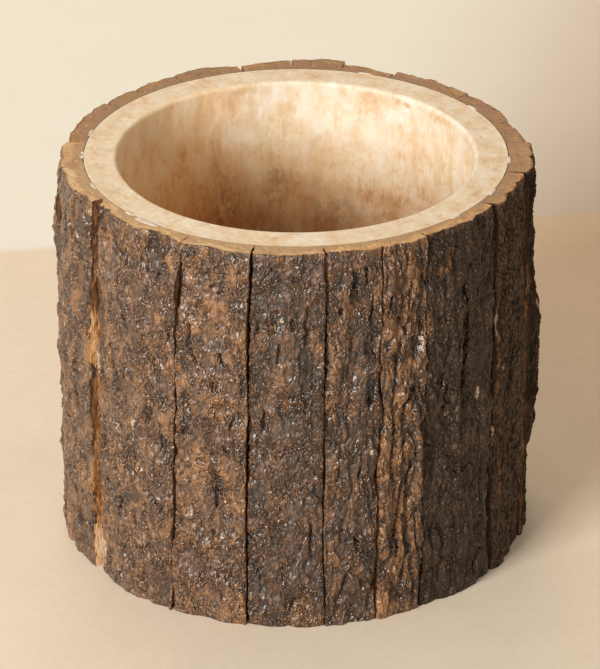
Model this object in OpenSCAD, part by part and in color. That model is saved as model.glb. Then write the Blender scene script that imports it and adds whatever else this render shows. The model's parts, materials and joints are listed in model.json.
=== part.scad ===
// Tree bark planter: a hollow wooden core with a let-in floor, clad all round
// with split strips of furrowed bark that are glued on and sawn flush at both ends.
// The origin is the centre of the underside, +Z is up, and the front faces -Y.

/* [Core] */
// Diameter of the bore that takes the pot
bore_d = 190; // [150:1:230]
// Thickness of the wooden wall
core_wall_t = 17.5; // [14:0.5:30]
// Height of the planter
planter_h = 217; // [150:1:300]
// Radius of the softened edge round the mouth of the bore
mouth_round = 2; // [0.5:0.5:4]

/* [Floor] */
// Thickness of the floor disc
floor_t = 18; // [9:1:30]
// Width of the rebate that the floor disc is let into
rebate_w = 9; // [4:0.5:11]
// Height of the bevel at the disc's upper edge, which seats under the wall
floor_bevel_h = 6; // [2:0.5:8]
// Clearance round the floor disc in its rebate
floor_gap = 0.2; // [0.1:0.05:0.4]

/* [Glue] */
// Thickness of the glue between the core and the bark
glue_t = 0.7; // [0.4:0.1:1.5]
// Clearance on each side of the glue
glue_gap = 0.1; // [0.05:0.05:0.2]
// Distance that the glue stays back from the sides of its strip
glue_inset = 7; // [6:0.5:9]
// Distance that the glue stays back from the sawn ends
glue_end_inset = 6; // [2:0.5:15]
// Width of the glue that has been squeezed up to the rim
glue_tongue_w = 9; // [4:0.5:11]

/* [Bark] */
// Nominal thickness of the bark
bark_t = 12; // [10:0.5:16]
// Least thickness of the bark, at the bottom of a furrow
bark_least_t = 4; // [3:0.5:5]
// Gap at a tight joint between two strips
joint_gap = 0.8; // [0.4:0.1:2]
// Distance that the joints wander to either side
joint_wander = 1.2; // [0:0.1:2]
// Height over which a joint wanders one way
joint_wander_h = 30; // [15:1:60]
// Distance from the middle of a furrow to the ridge beside it
furrow_half_w = 2.2; // [1:0.1:2.6]
// Distance that the furrows wander, as a share of the ridge's width
furrow_wander = 0.16; // [0:0.01:0.25]
// Height over which a furrow wanders one way
furrow_wander_h = 34; // [15:1:60]
// Height over which a furrow deepens or fades
furrow_fade_h = 27; // [15:1:60]
// Height of a bark scale, the piece of ridge between two steps
scale_h = 38; // [20:1:80]
// Height of the steps between the scales of a ridge
scale_step = 1.3; // [0:0.1:2]
// Height of the knobs that roughen the bark's face, in and out
rough = 0.95; // [0:0.05:1.2]
// Bark lost along the sides of each strip
side_wear = 0.3; // [0:0.1:1.5]
// Bark lost along the sawn rim
rim_wear = 1.5; // [0:0.1:2.5]
// Depth below the rim at which the wear ends
rim_wear_h = 16; // [5:1:30]
// Choice of the bark's random pattern
bark_seed = 7; // [1:1:99]

/* [Hidden] */
core_r = bore_d / 2 + core_wall_t;
rebate_r = bore_d / 2 + rebate_w;
glue_r = core_r + glue_gap;
bark_in_r = glue_r + glue_t + glue_gap;
bark_r = bark_in_r + bark_t;
past = 1;
round_steps = 5;
fine = 128;
core_color = [0.90, 0.80, 0.62];
floor_color = [0.84, 0.72, 0.53];
glue_color = [0.94, 0.92, 0.86];

// The strips in order round the planter, from the wide joint at its front left. Each row is:
// width, lean of the left joint from foot to rim, extra gap at the left joint, thickness at
// the left, middle and right against the nominal, ridges, furrow depth, and tint
STRIPS = [
    [65, 0, 4.2, -3.5, 0.5, 1.5, 4, 1.6, 0],
    [41, 6, 0.2, 0.5, 0.0, 1.0, 2, 1.3, 0],
    [40, 4, 0.0, -0.5, 0.5, -0.5, 2, 1.4, 1],
    [30, 1, 0.6, -1.0, -1.0, -2.0, 2, 2.2, 1],
    [27, 3, 0.4, -2.0, -1.0, -2.5, 3, 3.0, 2],
    [54, 2, 0.6, -3.0, -2.0, -3.0, 4, 1.8, 1],
    [44, 1, 1.8, -2.5, -1.0, -1.0, 3, 2.2, 1],
    [43, 2, 0.4, 1.0, 1.5, 1.0, 2, 2.6, 1],
    [25, -2, 0.6, 1.0, -0.5, -2.5, 2, 2.0, 0],
    [45, 3, 1.2, -3.5, -1.0, -2.5, 3, 2.2, 1],
    [52, 1, 0.2, -2.0, -0.5, -1.5, 3, 3.0, 2],
    [28, -3, 0.6, -4.5, -3.5, -2.0, 2, 1.6, 0],
    [32, 2, 0.4, 1.5, 3.5, 1.0, 2, 3.6, 1],
    [29, -1, 0.2, -1.0, -0.5, -3.0, 2, 2.2, 0],
    [42, 2, 1.6, -3.0, 2.0, -1.0, 3, 3.2, 1],
    [27, -2, 0.4, -0.5, -1.0, -3.5, 2, 2.0, 2],
    [25, 3, 0.8, -2.0, -0.5, -2.0, 2, 1.8, 0],
    [54, 0, 0.2, -1.0, 0.5, -2.5, 4, 2.6, 1],
    [34, 2, 1.0, -1.0, 1.0, 2.0, 2, 2.6, 0],
    [48, -1, 0.4, 2.0, 0.5, -1.5, 3, 2.2, 0],
];
// Angle of the wide joint at mid height
start_angle = 210;
// Brown, dark and orange bark
TINTS = [[0.40, 0.31, 0.24], [0.27, 0.22, 0.19], [0.52, 0.33, 0.18]];

// Places where a scale has split off or stands proud. Each row is: strip, distance from its
// left joint, height, half width, half height, and the step outwards
PATCHES = [
    [1, 52, planter_h, 13, 26, -3.2],
    [1, 30, 95, 9, 34, -1.4],
    [1, 4, 66, 6, 10, 2.0],
    [2, 30, 60, 9, 40, -1.3],
    [3, 12, 150, 8, 26, -1.5],
    [6, 36, 70, 16, 50, 1.2],
    [8, 28, 92, 17, 50, 3.6],
    [11, 20, 160, 12, 40, 1.8],
    [13, 16, 120, 12, 60, 1.5],
    [15, 12, 60, 10, 35, -1.8],
    [18, 36, 110, 16, 55, 1.6],
    [19, 24, 165, 12, 30, 1.6],
    [20, 14, 62, 14, 36, 1.4],
];
// Strips whose glue shows at the rim, each with the distance of the glue from the left joint
TONGUES = [[1, 24], [6, 30], [7, 16], [8, 18], [10, 28], [12, 14], [18, 40], [19, 18], [20, 28]];

strip_n = len(STRIPS);
total_w = sum_widths(strip_n);
// Height of one row of points in the bark's face, which is the height of its knobs
row_h = 7.5;
row_n = round(planter_h / row_h);
columns_per_ridge = 4;
// Mean depth of a furrow as a share of its full depth, and the share that comes and goes
furrow_mean = 0.65;
furrow_swing = 0.8;
// Share of the rim's wear that differs from column to column
wear_swing = 0.4;
// Share of a patch's half size over which its step runs out
patch_slope = 0.3;

// The values of one strip's row. The widths are shared out so that they fill the turn.
function width_of(k) = STRIPS[k][0];
function lean_of(k) = STRIPS[k][1];
function extra_gap_of(k) = STRIPS[k][2];
function left_t_of(k) = STRIPS[k][3];
function mid_t_of(k) = STRIPS[k][4];
function right_t_of(k) = STRIPS[k][5];
function ridges_of(k) = STRIPS[k][6];
function furrow_of(k) = STRIPS[k][7];
function tint_of(k) = TINTS[STRIPS[k][8]];

function strip_name(k) = str("bark_strip_", k < 9 ? "0" : "", k + 1);
function sum_widths(n) = n == 0 ? 0 : width_of(n - 1) + sum_widths(n - 1);
function fitted_width(k) = width_of(k) / total_w * 2 * PI * bark_r;
function clamp(x) = max(0, min(1, x));
function mix(a, b, t) = a + (b - a) * t;
function ease(t) = t * t * (3 - 2 * t);

// Fixed random numbers from -1 to 1. A use's draws start at its own number j below, and its
// columns or ridges count up from there.
scale_start_draw = 3;
joint_draw = 5;
wear_draw = 7;
furrow_draw = 20;
depth_draw = 40;
scale_draw = 60;
knob_draw = 80;
CHANCES = rands(-1, 1, 997, bark_seed);
function chance(i, j, k) = CHANCES[(i * 37 + j * 101 + k * 211) % len(CHANCES)];
// Smooth random wave along the height, with a new value after each step
function drift(z, step, j, k) =
    let (p = z / step, i = floor(p))
    mix(chance(i, j, k), chance(i + 1, j, k), ease(p - i));

// Angle of a joint at a height. The last strip's right joint is the first strip's left one.
function degrees_of(length) = length / bark_r * 180 / PI;
function joint_angle(k, z) =
    let (j = k % strip_n)
    start_angle + sum_widths(k) / total_w * 360
    + degrees_of(lean_of(j) * (z / planter_h - 0.5) + joint_wander * drift(z, joint_wander_h, joint_draw, j));
function joint_half_gap(k) = degrees_of(joint_gap + extra_gap_of(k % strip_n)) / 2;
function left_angle(k, z) = joint_angle(k, z) + joint_half_gap(k);
function right_angle(k, z) = joint_angle(k + 1, z) - joint_half_gap(k + 1);

// Share of the strip's width at which a furrow lies; the first and the last are its sides
function furrow_share(k, m, z) =
    let (n = ridges_of(k))
    m == 0 ? 0 : m == n ? 1
    : (m + furrow_wander * drift(z, furrow_wander_h, furrow_draw + m, k)) / n;

// Share of the strip's width of one column of points: a furrow, the two sides of the ridge
// beyond it, or the ridge's crown
function column_share(k, c, z) =
    let (
        m = floor(c / columns_per_ridge),
        part = c % columns_per_ridge,
        here = furrow_share(k, m, z),
        next = furrow_share(k, min(m + 1, ridges_of(k)), z),
        side = furrow_half_w / fitted_width(k)
    )
    part == 0 ? here : part == 1 ? here + side : part == 2 ? (here + next) / 2 : next - side;

// Smooth thickness across the strip, through its left, middle and right values
function body_t(k, s) =
    bark_t + left_t_of(k) * (1 - s) * (1 - 2 * s) + mid_t_of(k) * 4 * s * (1 - s)
    + right_t_of(k) * s * (2 * s - 1);

// Depth of the furrow at a column, which comes and goes along the height
function furrow_t(k, c, z) =
    let (at_side = c == 0 || c == ridges_of(k) * columns_per_ridge)
    c % columns_per_ridge > 0 ? 0
    : at_side ? side_wear
    : furrow_of(k) * clamp(furrow_mean + furrow_swing * drift(z, furrow_fade_h, depth_draw + c, k));

// Each ridge is a stack of scales that stand at slightly different depths
function scale_t(k, c, z) =
    let (
        m = floor(c / columns_per_ridge),
        level = z / scale_h + chance(m, scale_start_draw, k) + 1
    )
    scale_step * chance(floor(level), scale_draw + m, k);

// Scales that have split off or stand proud
function patch_t(k, s, z) =
    let (steps = [for (p = PATCHES) if (p[0] == k + 1)
        let (
            dx = abs(s * fitted_width(k) - p[1]) / p[3],
            dz = abs(z - p[2]) / p[4]
        )
        p[5] * ease(clamp((1 - dx) / patch_slope)) * ease(clamp((1 - dz) / patch_slope))])
    len(steps) == 0 ? 0 : steps * [for (i = steps) 1];

function wear_t(z, k, c) =
    rim_wear * ease(clamp(1 - (planter_h - z) / rim_wear_h)) * (1 + wear_swing * chance(c, wear_draw, k));

function bark_face_r(k, c, s, z, i) =
    bark_in_r + max(bark_least_t, body_t(k, s) + scale_t(k, c, z) + patch_t(k, s, z)
        + rough * chance(i, knob_draw + c, k) - furrow_t(k, c, z) - wear_t(z, k, c));

module core_wall() {
    r = bore_d / 2;
    color(core_color)
    rotate_extrude($fn = fine)
    polygon(concat(
        [
            [rebate_r, 0],
            [core_r, 0],
            [core_r, planter_h],
        ],
        [for (i = [0 : round_steps])
            let (a = 90 + 90 * i / round_steps)
            [r + mouth_round + mouth_round * cos(a), planter_h - mouth_round + mouth_round * sin(a)]],
        [
            [r, floor_t],
            [rebate_r, floor_t - floor_bevel_h],
        ]
    ));
}

module floor_disc() {
    edge_r = rebate_r - floor_gap;
    top_r = bore_d / 2 - floor_gap;
    color(floor_color)
    rotate_extrude($fn = fine)
    polygon([[0, 0], [edge_r, 0], [edge_r, floor_t - floor_bevel_h], [top_r, floor_t], [0, floor_t]]);
}

// A curved slab that lies against the core between two angles and two heights
module glue_slab(from, to, low, high) {
    rotate([0, 0, from])
    rotate_extrude(angle = to - from, $fn = fine)
    translate([glue_r, low])
    square([glue_t, high - low]);
}

// A broad patch of glue behind each strip, and the beads that were squeezed up to the rim
module glue_patches() {
    inset = degrees_of(glue_inset);
    tongue = degrees_of(glue_tongue_w) / 2;
    mid = planter_h / 2;
    top = planter_h - glue_end_inset;
    color(glue_color) {
        for (k = [0 : strip_n - 1])
            glue_slab(joint_angle(k, mid) + inset, joint_angle(k + 1, mid) - inset, glue_end_inset, top);
        for (t = TONGUES) {
            a = start_angle + (sum_widths(t[0] - 1) + t[1]) / total_w * 360;
            glue_slab(a - tongue, a + tongue, top + glue_gap, planter_h);
        }
    }
}

// One split strip: a loft of rows from the axis out to the furrowed face, sawn flat at both
// ends, with its back hollowed to lie round the core
module bark_strip(k) {
    column_n = ridges_of(k) * columns_per_ridge;
    ring_n = column_n + 2;
    points = [for (i = [0 : row_n])
        let (
            z = i * planter_h / row_n,
            left = left_angle(k, z),
            right = right_angle(k, z)
        )
        each concat(
            [for (c = [0 : column_n])
                let (
                    s = column_share(k, c, z),
                    a = mix(left, right, s),
                    r = bark_face_r(k, c, s, z, i)
                )
                [r * cos(a), r * sin(a), z]],
            [[0, 0, z]]
        )];
    walls = [for (i = [0 : row_n - 1], c = [0 : ring_n - 1])
        let (
            a = i * ring_n + c,
            b = i * ring_n + (c + 1) % ring_n
        )
        each [[a, a + ring_n, b + ring_n], [a, b + ring_n, b]]];
    foot = [for (c = [0 : column_n - 1]) [ring_n - 1, c, c + 1]];
    top = row_n * ring_n;
    rim = [for (c = [0 : column_n - 1]) [top + ring_n - 1, top + c + 1, top + c]];
    color(tint_of(k))
    difference() {
        polyhedron(points, concat(walls, foot, rim), convexity = 8);
        translate([0, 0, -past])
        cylinder(r = bark_in_r, h = planter_h + 2 * past, $fn = fine);
    }
}

core_wall();
floor_disc();
glue_patches();
for (k = [0 : strip_n - 1])
    bark_strip(k);
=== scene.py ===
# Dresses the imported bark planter: fine bark meshes in place of the CAD strips, wood for the
# core and its floor disc, glue beads, and a pale studio floor in soft light. Lengths are in
# millimetres, but for those of the camera, the lamps and the studio floor, in metres.
import json
import math

import bpy
import numpy as np
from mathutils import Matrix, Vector


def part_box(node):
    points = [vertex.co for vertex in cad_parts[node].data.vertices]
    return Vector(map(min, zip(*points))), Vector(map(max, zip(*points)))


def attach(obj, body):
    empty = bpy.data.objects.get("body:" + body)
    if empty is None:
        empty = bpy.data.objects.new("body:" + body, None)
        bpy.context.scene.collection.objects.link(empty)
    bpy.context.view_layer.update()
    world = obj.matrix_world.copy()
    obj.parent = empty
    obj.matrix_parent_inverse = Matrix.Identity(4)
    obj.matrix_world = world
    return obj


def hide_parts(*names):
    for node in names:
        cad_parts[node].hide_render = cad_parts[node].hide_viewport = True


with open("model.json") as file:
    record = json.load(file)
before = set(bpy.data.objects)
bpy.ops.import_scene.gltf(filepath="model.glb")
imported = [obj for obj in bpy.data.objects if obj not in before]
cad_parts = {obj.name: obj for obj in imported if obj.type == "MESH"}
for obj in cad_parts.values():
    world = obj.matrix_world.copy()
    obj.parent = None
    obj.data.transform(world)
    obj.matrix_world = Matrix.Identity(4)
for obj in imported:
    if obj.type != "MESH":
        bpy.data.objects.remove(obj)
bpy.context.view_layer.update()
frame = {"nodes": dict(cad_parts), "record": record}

MM = 0.001
STRIP_NODES = sorted(n for n in frame["nodes"] if n.startswith("bark_strip_"))
MOUNTS = {m["name"]: m for m in frame["record"]["mounts"]}
HEIGHT_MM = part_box("core_wall")[1].z / MM
CORE_R_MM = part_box("core_wall")[1].x / MM
BORE_R_MM = MOUNTS["pot_bore"]["dims"]["r_mm"]
FLOOR_TOP_MM = MOUNTS["pot_seat"]["pos_m"][2] / MM

# The photograph's camera, as it was measured from the rim and foot
PHOTO_LONG_SIDE_PX = 669
FOCAL_PX = 4500
CAMERA_DISTANCE = 2.436
CAMERA_ELEVATION = math.radians(26.9)
PHOTO_OFFSET_PX = (4.2, 1.8)

# How front and back strips differ: spacing of the bark's points across and up, share by
# which the outline gets even at the rim, and distance from the ends over which furrows fade
FRONT = dict(cell=(0.5, 0.6), even=0.3, fade=14)
BACK = dict(cell=(0.65, 0.8), even=0.8, fade=25)
FRONT_STRIPS = (20, 1, 2, 3, 4, 5, 6, 7, 8)
# Height below the rim over which the outlines get even
RIM_SMOOTH_MM = 25
# A CAD strip's face lies at least this far outside its back
FACE_LEAST_MM = 2
# Steps from the bark's face to its back along the sawn ends and the sides, and across its back
DEPTH_STEPS = 9
BACK_STEPS = 12
# Depth below the face that the back's points store
BACK_DEPTH_MM = 10.0
# A strip's material slots: its face, its sawn ends, and its split sides and back
FACE, SAWN, SPLIT = range(3)
# Mean width of the joints, and of those that stand out, by the strip to their right. A joint
# that is wider than GROOVE_LEAST_MM in the CAD is a groove: it stays as wide at the face, and
# the inner bark below narrows it to GROOVE_JOINT_MM.
JOINT_MM = 0.45
JOINTS_MM = {2: 0.4, 3: 0.85, 4: 0.55, 5: 0.4, 6: 0.3, 7: 2.2, 8: 1.2}
GROOVE_LEAST_MM = 2
GROOVE_JOINT_MM = 0.6
# Spacing of the core's points, the radius of its mouth's edge, the steps round that edge, and
# the points up its outside and across its rim
CORE_CELL_MM = 1.2
MOUTH_MM = 2
MOUTH_STEPS = 6
OUTSIDE_POINTS = 24
RIM_POINTS = 20


def smooth(t):
    t = np.clip(t, 0, 1)
    return t * t * (3 - 2 * t)


def perlin(u, z, cell_u, cell_z, seed, around=0):
    """Gradient noise on a grid of about cell_u by cell_z, about -1 to 1. Where around is given,
    u runs from 0 to that length and the noise closes on itself."""
    count = max(1, round(around / cell_u))
    p, q = u / (around / count if around else cell_u), z / cell_z
    i, j = np.floor(p).astype(int), np.floor(q).astype(int)
    fi, fj = p - i, q - j
    i, j = i - i.min(), j - j.min()
    turn = np.random.default_rng(seed).uniform(0, 2 * math.pi, (i.max() + 2, j.max() + 2))
    gu, gz = np.cos(turn), np.sin(turn)
    wu, wz = smooth(fi), smooth(fj)

    def corner(di, dj):
        a = (i + di) % count if around else i + di
        return gu[a, j + dj] * (fi - di) + gz[a, j + dj] * (fj - dj)

    low = corner(0, 0) * (1 - wu) + corner(1, 0) * wu
    high = corner(0, 1) * (1 - wu) + corner(1, 1) * wu
    return 1.5 * (low * (1 - wz) + high * wz)


def layered(u, z, cell_u, cell_z, seed, layers=3, fade=0.5, around=0):
    """Layers of gradient noise, each half the size of the last."""
    total, weight = 0, 1
    for n in range(layers):
        total = total + weight * perlin(u, z, cell_u / 2**n, cell_z / 2**n, seed + 31 * n, around)
        weight *= fade
    return total


def cells(u, z, cell_u, cell_z, seed):
    """Irregular cells. Gives each point's distance to its cell's edge, its offset from the
    cell's middle, both in cells, and four numbers from -1 to 1 that are the same all over
    the cell."""
    p, q = u / cell_u, z / cell_z
    i, j = np.floor(p).astype(int), np.floor(q).astype(int)
    rng = np.random.default_rng(seed)
    ni, nj = i - i.min() + 1, j - j.min() + 1
    shape = (ni.max() + 2, nj.max() + 2)
    jitter, value = rng.uniform(0, 1, (2, *shape)), rng.uniform(-1, 1, (4, *shape))
    first, second = np.full(u.shape, 9.0), np.full(u.shape, 9.0)
    offset, found = np.zeros((2, *u.shape)), np.zeros((4, *u.shape))
    for di in (-1, 0, 1):
        for dj in (-1, 0, 1):
            a, b = ni + di, nj + dj
            off = np.stack([p - i - di - jitter[0, a, b], q - j - dj - jitter[1, a, b]])
            d = np.hypot(*off)
            nearer = d < first
            second = np.where(nearer, first, np.minimum(second, d))
            offset, found = np.where(nearer, off, offset), np.where(nearer, value[:, a, b], found)
            first = np.where(nearer, d, first)
    return second - first, offset, found


def blur(field, sigma, axis):
    """Gaussian blur along one axis, sigma in points, with the ends held."""
    n = max(1, int(3 * sigma))
    kernel = np.exp(-0.5 * (np.arange(-n, n + 1) / sigma) ** 2)
    kernel /= kernel.sum()
    pad = [(0, 0), (0, 0)]
    pad[axis] = (n, n)
    padded = np.pad(field, pad, mode="edge")
    return sum(w * np.take(padded, np.arange(k, k + field.shape[axis]), axis=axis)
               for k, w in enumerate(kernel))


def strip_rows(name):
    """The rows of points in a CAD strip's face, each with its height, angles and radii, and
    the radius of the strip's back."""
    mesh = frame["nodes"][name].data
    co = np.zeros(len(mesh.vertices) * 3)
    mesh.vertices.foreach_get("co", co)
    co = co.reshape(-1, 3) / MM
    radius = np.hypot(co[:, 0], co[:, 1])
    middle = math.atan2(co[:, 1].mean(), co[:, 0].mean())
    turn = (np.arctan2(co[:, 1], co[:, 0]) - middle + math.pi) % (2 * math.pi) - math.pi
    back_r = radius.min()
    face = radius > back_r + FACE_LEAST_MM
    rows = []
    for z in np.unique(np.round(co[face, 2], 2)):
        here = face & (np.abs(co[:, 2] - z) < 0.02)
        order = np.argsort(turn[here])
        rows.append((z, middle + turn[here][order], radius[here][order]))
    return rows, back_r


class Strip:
    """A strip's fine grid: distance across from its left joint, height, angle and radius."""

    def __init__(self, name):
        self.name = name
        self.number = int(name[-2:])
        self.seed = 1000 + 97 * self.number
        self.detail = FRONT if self.number in FRONT_STRIPS else BACK
        self.cell = self.detail["cell"]
        rows, self.back_r = strip_rows(name)
        heights = np.array([z for z, _, _ in rows])
        lefts = np.array([a[0] for _, a, _ in rows])
        rights = np.array([a[-1] for _, a, _ in rows])
        self.width = float(np.mean(rights - lefts) * np.mean([r.mean() for _, _, r in rows]))
        share = np.linspace(0, 1, round(self.width / self.cell[0]) + 1)
        height = np.linspace(0, HEIGHT_MM, round(HEIGHT_MM / self.cell[1]) + 1)
        coarse = np.array([np.interp(share, (a - a[0]) / (a[-1] - a[0]), r) for _, a, r in rows])
        fine = np.array([np.interp(height, heights, coarse[:, c]) for c in range(len(share))])
        radius = self.soften(fine, 1.2, 3.0)
        even = self.detail["even"] * (1 - smooth((HEIGHT_MM - height) / RIM_SMOOTH_MM))
        self.radius = radius + even[None, :] * (self.soften(radius, 4.0, 1.0) - radius)
        self.u, self.z = np.meshgrid(share * self.width, height, indexing="ij")
        # Angles of the left and right sides at each height, and the joints' widths there
        self.sides = [np.interp(height, heights, lefts), np.interp(height, heights, rights)]
        self.gaps = [0 * height, 0 * height]
        # Distance that the inner bark reaches further left than the face does
        self.reach = 0.0

    @property
    def angle(self):
        left, right = self.sides
        return left[None, :] + self.u / self.width * (right - left)[None, :]

    def soften(self, field, across_mm, up_mm):
        return blur(blur(field, across_mm / self.cell[0], 0), up_mm / self.cell[1], 1)


def fit_joint(before, strip):
    """Gives two strips' sides an uneven joint, and the strip on the right the reach of its
    inner bark where the joint is a groove."""
    turn = (strip.sides[0].mean() - before.sides[1].mean() + math.pi) % (2 * math.pi) - math.pi
    cad_gap = turn * strip.radius[0].mean()
    is_groove = cad_gap > GROOVE_LEAST_MM
    strip.reach = max(0, turn * strip.back_r - GROOVE_JOINT_MM)
    for piece, side, toward in ((before, 1, 1), (strip, 0, -1)):
        z = piece.z[0]
        seed = strip.seed + (toward if is_groove else 0)
        path = 0.35 * layered(z, 0 * z, 7, 7, seed + 1, 3)
        if is_groove:
            path = path + 0.9 * perlin(z, 0 * z, 24, 24, seed + 2)
        swell = np.clip(1 + 1.1 * layered(z, 0 * z, 36, 36, strip.seed + 4, 2), 0.3, 2)
        gap = np.full(z.shape, cad_gap) if is_groove else JOINTS_MM.get(strip.number, JOINT_MM) * swell
        shift = path + toward * (cad_gap - gap) / 2
        piece.sides[side] = piece.sides[side] + shift / piece.radius[-side]
        piece.gaps[side] = np.minimum(gap, JOINT_MM)


# How a strip's bark looks: the height of its flakes, grain, ledges, furrows and plates, a
# flake's width and height and the furrows' spacing, the number of slits, tone from dark (0) to
# light (1), rust, and the tones of the sawn ends and of the split sides
PLAIN = dict(flakes=1.3, flake=(5, 6.5), grain=0.22, ledges=1.2, furrows=0.5, spacing=9, plates=0.5,
             slits=5, tone=0.5, rust=0.45, end=0.35, side=0.5)
# What differs on single strips. The low tones of strips 6 and 8, on the shaded side, are partly their
# darker bark and partly painted shade.
LOOKS = {
    1: dict(tone=0.54, rust=0.46, end=0.85),
    2: dict(tone=0.51, rust=0.55, end=0.9),
    3: dict(tone=0.30, rust=0.28, end=0.8, side=0.3),
    4: dict(tone=0.34, rust=0.38, furrows=1.3, spacing=7, flake=(5, 9), end=0.75),
    5: dict(tone=0.48, rust=0.88, furrows=3.2, spacing=7, flake=(4.5, 11), flakes=1.6, end=0.7),
    6: dict(tone=0.12, rust=0.12, furrows=1.5, spacing=6, flakes=1.1, flake=(4, 8), end=0.6),
    7: dict(tone=0.49, rust=0.0, furrows=1.4, spacing=7, flakes=0.7, flake=(4, 8), end=0.45, side=0.15),
    8: dict(tone=0.0, rust=0.12, furrows=1.4, spacing=8, flakes=0.8, flake=(4, 9), end=0.45, side=0.25),
    9: dict(tone=0.28, rust=0.38, furrows=1.2, end=0.3),
    10: dict(tone=0.36, rust=0.34, furrows=1.7, spacing=7, flake=(4, 9), end=0.3),
    11: dict(tone=0.46, rust=0.70, furrows=2.6, spacing=7, flake=(4.5, 11)),
    13: dict(tone=0.38, rust=0.40, furrows=2.4, spacing=7, flake=(4.5, 10), end=0.3),
    14: dict(tone=0.48, rust=0.50, furrows=0.8),
    15: dict(tone=0.40, rust=0.40, furrows=2.4, spacing=6.5, flake=(4.5, 10), end=0.3),
    16: dict(tone=0.46, rust=0.65, furrows=1.0),
    18: dict(tone=0.40, rust=0.40, furrows=1.9, spacing=8, flake=(4.5, 9)),
    19: dict(rust=0.50, furrows=1.2, end=0.75),
    20: dict(tone=0.52, rust=0.62, flakes=0.9, furrows=1.0, spacing=8, end=0.9),
}

# Tone of the wide groove's left wall, which is one strip's right side, at these heights
GROOVE_WALL_STRIP = 20
GROOVE_WALL_MM = (0, 20, 27, 66, 85, 106, 118, 124, 150, 156)
GROOVE_WALL_TONES = (1.6, 1.6, 0.8, 0.75, 0.65, 0.4, 0.4, 1.1, 1.1, 0.55)

# Relief that each kind of mark adds
MARK_DEPTH = dict(step=-1.8, slit=-3.0, hole=-3.0, rust=-0.3, pale=0.2, dark=0.1, knob=1.4)

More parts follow.
